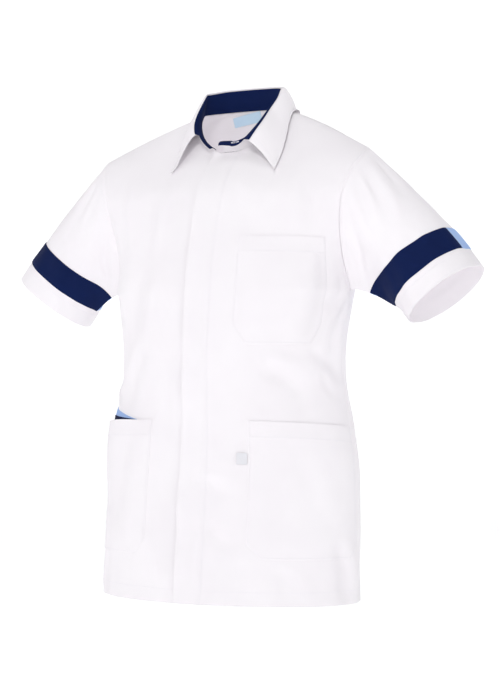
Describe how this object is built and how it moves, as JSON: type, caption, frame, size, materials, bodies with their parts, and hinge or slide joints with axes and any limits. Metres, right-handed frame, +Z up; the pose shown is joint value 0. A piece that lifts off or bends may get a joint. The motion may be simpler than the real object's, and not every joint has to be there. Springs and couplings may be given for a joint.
{
  "type": "worn medical tunic",
  "caption": "Short-sleeved front-fastening tunic with shirt collar, chest pocket, hip pockets and contrasting sleeve bands, in the hollow shape it has when worn.",
  "frame": {"origin": "midway between the two side-neck points, where the wearer's neck and shoulders carry the tunic", "axes": "+Z up the body, -Y the front, +X the wearer's left"},
  "size_m": [0.7626, 0.2698, 0.7682],
  "materials": {
    "cloth_white": "matt poplin, near white",
    "cloth_navy": "matt twill, navy",
    "cloth_light_blue": "matt twill, light blue",
    "label_white": "woven tape, blank",
    "label_light_blue": "woven tape, blank",
    "button_white": "white, satin gloss"
  },
  "bodies": {
    "root": {"left_front": "cloth_white", "right_front": "cloth_white", "back": "cloth_white", "front_placket": "cloth_white", "left_sleeve": "cloth_white", "right_sleeve": "cloth_white", "left_band_front": "cloth_navy", "right_band_front": "cloth_navy", "left_band_back": "cloth_light_blue", "right_band_back": "cloth_light_blue", "left_cuff_hem": "cloth_white", "right_cuff_hem": "cloth_white", "collar_stand": "cloth_white", "stand_lining": "cloth_navy", "collar_leaf": "cloth_white", "chest_pocket": "cloth_white", "left_pocket": "cloth_white", "right_pocket": "cloth_white", "mouth_tape_navy": "cloth_navy", "mouth_tape_blue": "cloth_light_blue", "pocket_label": "label_white", "neck_label": "label_light_blue", "collar_button": "button_white"}
  },
  "joints": []
}
